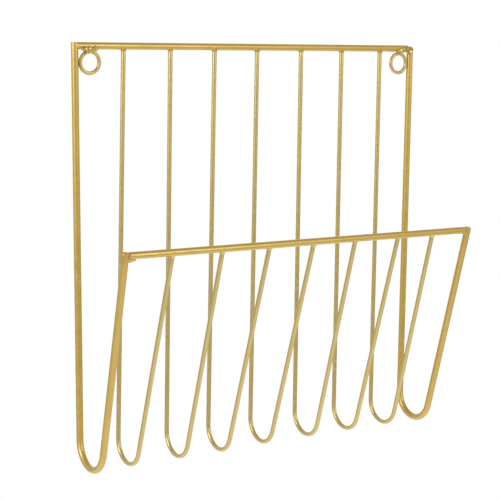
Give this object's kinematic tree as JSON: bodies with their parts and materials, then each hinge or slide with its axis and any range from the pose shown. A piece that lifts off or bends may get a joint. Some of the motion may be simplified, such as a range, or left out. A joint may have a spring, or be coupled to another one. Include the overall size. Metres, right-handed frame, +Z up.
{
  "type": "newspaper rack",
  "caption": "Wall rack of bent and welded gold wire: a slanted open pocket for newspapers under a flat wire back, hung by rings in its top corners.",
  "frame": {"origin": "on the wall plane, midway across the rack, level with the centres of the two hanging rings", "axes": "+X to the right seen from the front, +Y into the wall, +Z up"},
  "size_m": [0.3511, 0.0935, 0.3501],
  "materials": {
    "gold_rod": "satin metallic gold lacquer over round steel rod",
    "gold_wire": "satin metallic gold lacquer over round steel wire",
    "gold_weld": "the same gold lacquer over lumpy weld beads, a little glossier"
  },
  "bodies": {
    "root": {"side_rod_left": "gold_rod", "side_rod_right": "gold_rod", "top_rail": "gold_rod", "front_rail": "gold_rod", "wire_1": "gold_wire", "wire_2": "gold_wire", "wire_3": "gold_wire", "wire_4": "gold_wire", "wire_5": "gold_wire", "wire_6": "gold_wire", "wire_7": "gold_wire", "hanging_ring_left": "gold_wire", "hanging_ring_right": "gold_wire", "top_weld_1": "gold_weld", "top_weld_2": "gold_weld", "top_weld_3": "gold_weld", "top_weld_4": "gold_weld", "top_weld_5": "gold_weld", "top_weld_6": "gold_weld", "top_weld_7": "gold_weld", "front_weld_1": "gold_weld", "front_weld_2": "gold_weld", "front_weld_3": "gold_weld", "front_weld_4": "gold_weld", "front_weld_5": "gold_weld", "front_weld_6": "gold_weld", "front_weld_7": "gold_weld", "corner_weld_top_left": "gold_weld", "ring_weld_left": "gold_weld", "corner_weld_front_left": "gold_weld", "corner_weld_top_right": "gold_weld", "ring_weld_right": "gold_weld", "corner_weld_front_right": "gold_weld"}
  },
  "joints": []
}
